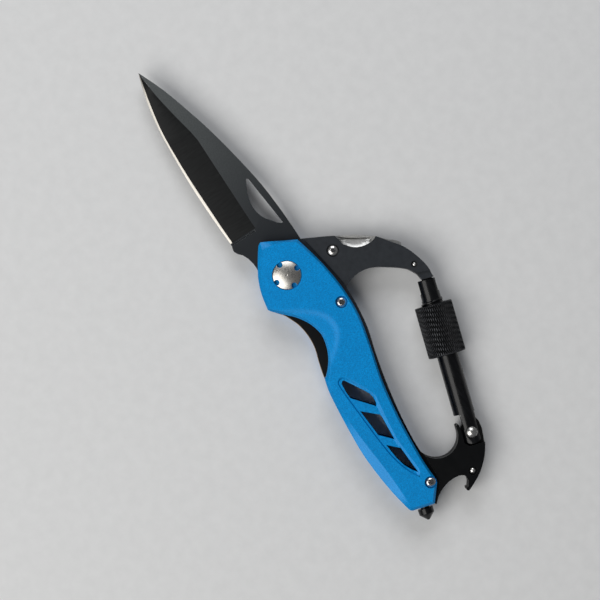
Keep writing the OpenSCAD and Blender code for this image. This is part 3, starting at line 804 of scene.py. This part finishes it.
driver_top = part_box("driver_tool")[1].z / MM
nick = loft("nick_cutter", [(nick_ring(reach), driver_top + z) for reach, z in (
    (0.93, -1.9), (0.78, -0.62), (0.34, -0.5), (0.0, 0.0), (0.0, 1.0))])
driver = carve(copy_of("driver_tool", "driver_tool_skin"), [nick])
driver = round_edges(tidy(driver), 0.22, segments=3, angle=22)
dress(driver, "driver", "tool_steel", [driver_steel], "driver_tool")
breaker = round_edges(copy_of("glass_breaker", "glass_breaker_skin"), 0.12, segments=3, angle=25)
dress(breaker, "handle", "breaker", [black_gloss("breaker_black")], "glass_breaker")


# ---------------------------------------------------------------- gate and sleeve
def gate_prism(name, points, z0, z1):
    """A prism over an outline in the gate's own u and v."""
    piece = prism(name, points, z0, z1)
    piece.data.transform(Matrix.Translation(-ORIGIN))
    turn = Matrix.Rotation(GATE_ANGLE, 4, "Z")
    piece.data.transform(Matrix.Translation(place(HINGE[0], HINGE[1])) @ turn)
    return piece


def oblong(u0, u1, v0, v1):
    return [(u0, v0), (u1, v0), (u1, v1), (u0, v1)]


def gate_piece():
    """Turned rod: forked at both ends, bored for the spring, rounded at the hinge."""
    end_r = 3.8
    stub_r = 3.22
    profile = [(0, -end_r), (ROD_R, -end_r), (ROD_R, THREAD_U[0]), (THREAD_ROOT_R, THREAD_U[0]),
               (THREAD_ROOT_R, THREAD_U[1]), (stub_r, THREAD_U[1]), (stub_r, 52.15),
               (stub_r - 0.15, 52.3), (0, 52.3)]
    rod = turned("gate_rod_skin", profile, gate_matrix(), sides=96)
    half_slot = (GAP_HIGH - GAP_LOW) / 2 + 0.1
    heel = [(end_r * math.cos(t), end_r * math.sin(t))
            for t in (math.radians(90 + 180 * k / 40) for k in range(41))]
    heel += [(0, -7), (-8, -7), (-8, 7), (0, 7)]
    bore = [(0, 4.6), (1.6, 4.6), (1.6, 20.0), (0, 20.0)]
    carve(rod, [
        gate_prism("heel_cutter", heel, -2, TOP + 2),
        gate_prism("side_cutter", oblong(-8, 6.5, -7, -2.7), -2, TOP + 2),
        gate_prism("side_cutter", oblong(-8, 1.5, 2.65, 7), -2, TOP + 2),
        gate_prism("side_cutter", oblong(1.4, 6.5, 2.0, 7), -2, TOP + 2),
        gate_prism("slot_cutter", oblong(-8, 5.6, -6, 6), MID - half_slot, MID + half_slot),
        gate_prism("slot_cutter", oblong(47.9, 60, -6, 6), MID - half_slot, MID + half_slot),
        turned("bore_cutter", bore, gate_matrix(), sides=48),
        gate_prism("hole_cutter", disc(1.3, 48), -2, TOP + 2),
        gate_prism("seat_cutter", disc(2.05, 64), MID + 3.1, TOP + 2),
        gate_prism("seat_cutter", disc(2.05, 64), -2, MID - 3.1)])
    return round_edges(tidy(rod, flat=0.2), 0.12, angle=35)


def thread_piece(name, u0, u1, root_r, crest_r, pitch):
    """A helical ridge of triangular section between u0 and u1."""
    per_turn = 48
    count = int((u1 - u0 - 0.8) / pitch * per_turn)
    section = ((-0.34, -0.1), (-0.10, 1.0), (0.10, 1.0), (0.34, -0.1))
    bm = bmesh.new()
    rows = []
    for k in range(count + 1):
        turn = 2 * math.pi * k / per_turn
        u = u0 + 0.4 + pitch * k / per_turn
        fade = min(1.0, min(k, count - k) / (per_turn * 0.4))
        row = []
        for du, h in section:
            r = root_r + (crest_r - root_r) * h * fade
            row.append(bm.verts.new((r * math.cos(turn) * MM, r * math.sin(turn) * MM,
                                     (u + du * pitch) * MM)))
        rows.append(row)
    for low, high in zip(rows, rows[1:]):
        for i in range(len(section)):
            j = (i + 1) % len(section)
            bm.faces.new((low[i], low[j], high[j], high[i]))
    bm.faces.new(rows[0])
    bm.faces.new(rows[-1])
    bmesh.ops.recalc_face_normals(bm, faces=bm.faces)
    bm.transform(gate_matrix())
    return smooth(new_piece(name, bm), 50)


def knurled_sleeve(name):
    """Sleeve with a diamond knurl cut into its outside and plain chamfered ends."""
    around = 432
    along = 130
    steep = (56, 6.0)
    cross = (50, -4.0)
    depth = 0.32
    chamfer = 0.22
    band = 0.35

    def height(k, i):
        ridge = [min(1.0, abs((n * i / around + shift * k / along) % 1.0 - 0.5) * 4)
                 for n, shift in (steep, cross)]
        return min(ridge[0], 0.4 + 0.6 * ridge[1])

    bm = bmesh.new()
    rows = []

    def ring(radii, z):
        rows.append([bm.verts.new((r * MM * math.cos(2 * math.pi * i / around),
                                   r * MM * math.sin(2 * math.pi * i / around), z * MM))
                     for i, r in enumerate(radii)])

    ring([SLEEVE_BORE_R] * around, 0)
    ring([SLEEVE_R - chamfer] * around, 0)
    for k in range(along + 1):
        z = chamfer + (SLEEVE_LEN - 2 * chamfer) * k / along
        edge = min(1.0, min(z - chamfer, SLEEVE_LEN - chamfer - z) / band)
        ring([SLEEVE_R - 0.03 - depth * (1 - height(k, i)) * edge for i in range(around)], z)
    ring([SLEEVE_R - chamfer] * around, SLEEVE_LEN)
    ring([SLEEVE_MOUTH_R] * around, SLEEVE_LEN)
    ring([SLEEVE_MOUTH_R] * around, SLEEVE_LEN - SLEEVE_MOUTH_LEN)
    ring([SLEEVE_BORE_R] * around, SLEEVE_LEN - SLEEVE_MOUTH_LEN)
    for low, high in zip(rows, rows[1:] + rows[:1]):
        for i in range(around):
            j = (i + 1) % around
            bm.faces.new((low[i], low[j], high[j], high[i]))
    bmesh.ops.recalc_face_normals(bm, faces=bm.faces)
    bm.transform(gate_matrix(SLEEVE_U))
    return smooth(new_piece(name, bm), 26)


gate_black = black_gloss("gate_black", rough=0.2)
dress(gate_piece(), "gate", "gate", [gate_black], "gate_rod")
dress(thread_piece("gate_thread", *THREAD_U, THREAD_ROOT_R, THREAD_R, THREAD_PITCH), "gate", "gate",
      [gate_black])


def sleeve_coat():
    """Black anodised knurl, worn to grey on its crests."""
    g = Graph("sleeve_coat", Metallic=0.7)
    away = g.add("VectorMath", {0: g.coords, 1: tuple(-gate_matrix().translation)},
                 operation="ADD").outputs[0]
    axis = gate_matrix().to_3x3() @ Vector((0, 0, 1))
    across = g.add("VectorMath", {0: away, 1: tuple(axis)}, operation="CROSS_PRODUCT").outputs[0]
    radius = g.add("VectorMath", {0: across}, operation="LENGTH").outputs["Value"]
    crest = g.span(radius, (SLEEVE_R - 0.16) * MM, (SLEEVE_R - 0.04) * MM, 0.0, 1.0)
    patchy = g.span(g.noise(1.6, detail=4.0), 0.3, 0.7, 0.4, 1.0)
    worn = g.add("Math", {0: crest, 1: patchy}, operation="MULTIPLY").outputs[0]
    g.colour(g.mix(worn, (0.001, 0.0012, 0.0016), (0.05, 0.052, 0.058)))
    g.rough(g.span(g.noise(0.6), 0.3, 0.7, 0.32, 0.46))
    g.bump(g.noise(0.25), 0.2, 0.02)
    return g.material


dress(knurled_sleeve("sleeve_skin"), "sleeve", "sleeve", [sleeve_coat()], "sleeve")
NODES["sleeve_seal"].data.materials.clear()
NODES["sleeve_seal"].data.materials.append(rubber())


def coil_spring(name, node):
    """Round-wire spring inside the gate's bore."""
    u0, u1 = 8.35, 19.9
    wire, radius, turns = 0.22, 1.24, 11
    sides, per_turn = 8, 24
    bm = bmesh.new()
    rows = []
    for k in range(turns * per_turn + 1):
        t = 2 * math.pi * k / per_turn
        z = u0 + wire + (u1 - u0 - 2 * wire) * k / (turns * per_turn)
        rows.append([bm.verts.new(((radius + wire * math.cos(s)) * math.cos(t) * MM,
                                   (radius + wire * math.cos(s)) * math.sin(t) * MM,
                                   (z + wire * math.sin(s)) * MM))
                     for s in (2 * math.pi * i / sides for i in range(sides))])
    for low, high in zip(rows, rows[1:]):
        for i in range(sides):
            j = (i + 1) % sides
            bm.faces.new((low[i], low[j], high[j], high[i]))
    bm.faces.new(rows[0])
    bm.faces.new(rows[-1])
    bmesh.ops.recalc_face_normals(bm, faces=bm.faces)
    bm.transform(gate_matrix())
    dress(smooth(new_piece(name, bm), 60), "gate", "hardware", [dull], node)


coil_spring("gate_spring_coil", "gate_spring")


# ---------------------------------------------------------------- floor, light, camera
def floor_plane():
    bm = bmesh.new()
    bmesh.ops.create_grid(bm, x_segments=8, y_segments=8, size=1.5)
    piece = new_piece("floor", bm)
    piece.data.materials.append(pale_floor())


def soft_light(name, at, look_at, size, power, colour=(1, 1, 1)):
    lamp = bpy.data.lights.new(name, "AREA")
    lamp.shape = "RECTANGLE"
    lamp.size, lamp.size_y = size
    lamp.energy = power
    lamp.color = colour
    piece = bpy.data.objects.new(name, lamp)
    bpy.context.scene.collection.objects.link(piece)
    way = Vector(look_at) - Vector(at)
    piece.matrix_world = Matrix.Translation(at) @ way.to_track_quat("-Z", "Y").to_matrix().to_4x4()


floor_plane()
centre = place(-8.5, 0.8, MID)
soft_light("key", centre + Vector((-0.04, 0.56, 0.80)), centre, (0.85, 0.75), 6.2,
           (1, 0.985, 0.955))
soft_light("rim", centre + Vector((0.58, -0.32, 0.66)), centre, (0.55, 0.45), 2.8, (0.97, 0.98, 1))
world = bpy.data.worlds.new("studio")
world.use_nodes = True
world.node_tree.nodes["Background"].inputs["Color"].default_value = (0.80, 0.82, 0.85, 1)
world.node_tree.nodes["Background"].inputs["Strength"].default_value = 0.16
bpy.context.scene.world = world
bpy.context.scene.view_settings.view_transform = "Standard"

FRAME_WIDTH = 0.198
DISTANCE = 0.62
lens = bpy.data.cameras.new("camera")
lens.sensor_width = 36.0
lens.lens = lens.sensor_width * DISTANCE / FRAME_WIDTH
lens.clip_start = 0.01
camera = bpy.data.objects.new("camera", lens)
bpy.context.scene.collection.objects.link(camera)
up = Vector((0.8387, -0.5446, 0)).normalized()
back = Vector((0, 0, 1))
right = up.cross(back)
camera.matrix_world = Matrix.Translation(centre + back * DISTANCE) @ Matrix(
    (right, up, back)).transposed().to_4x4()
bpy.context.scene.camera = camera
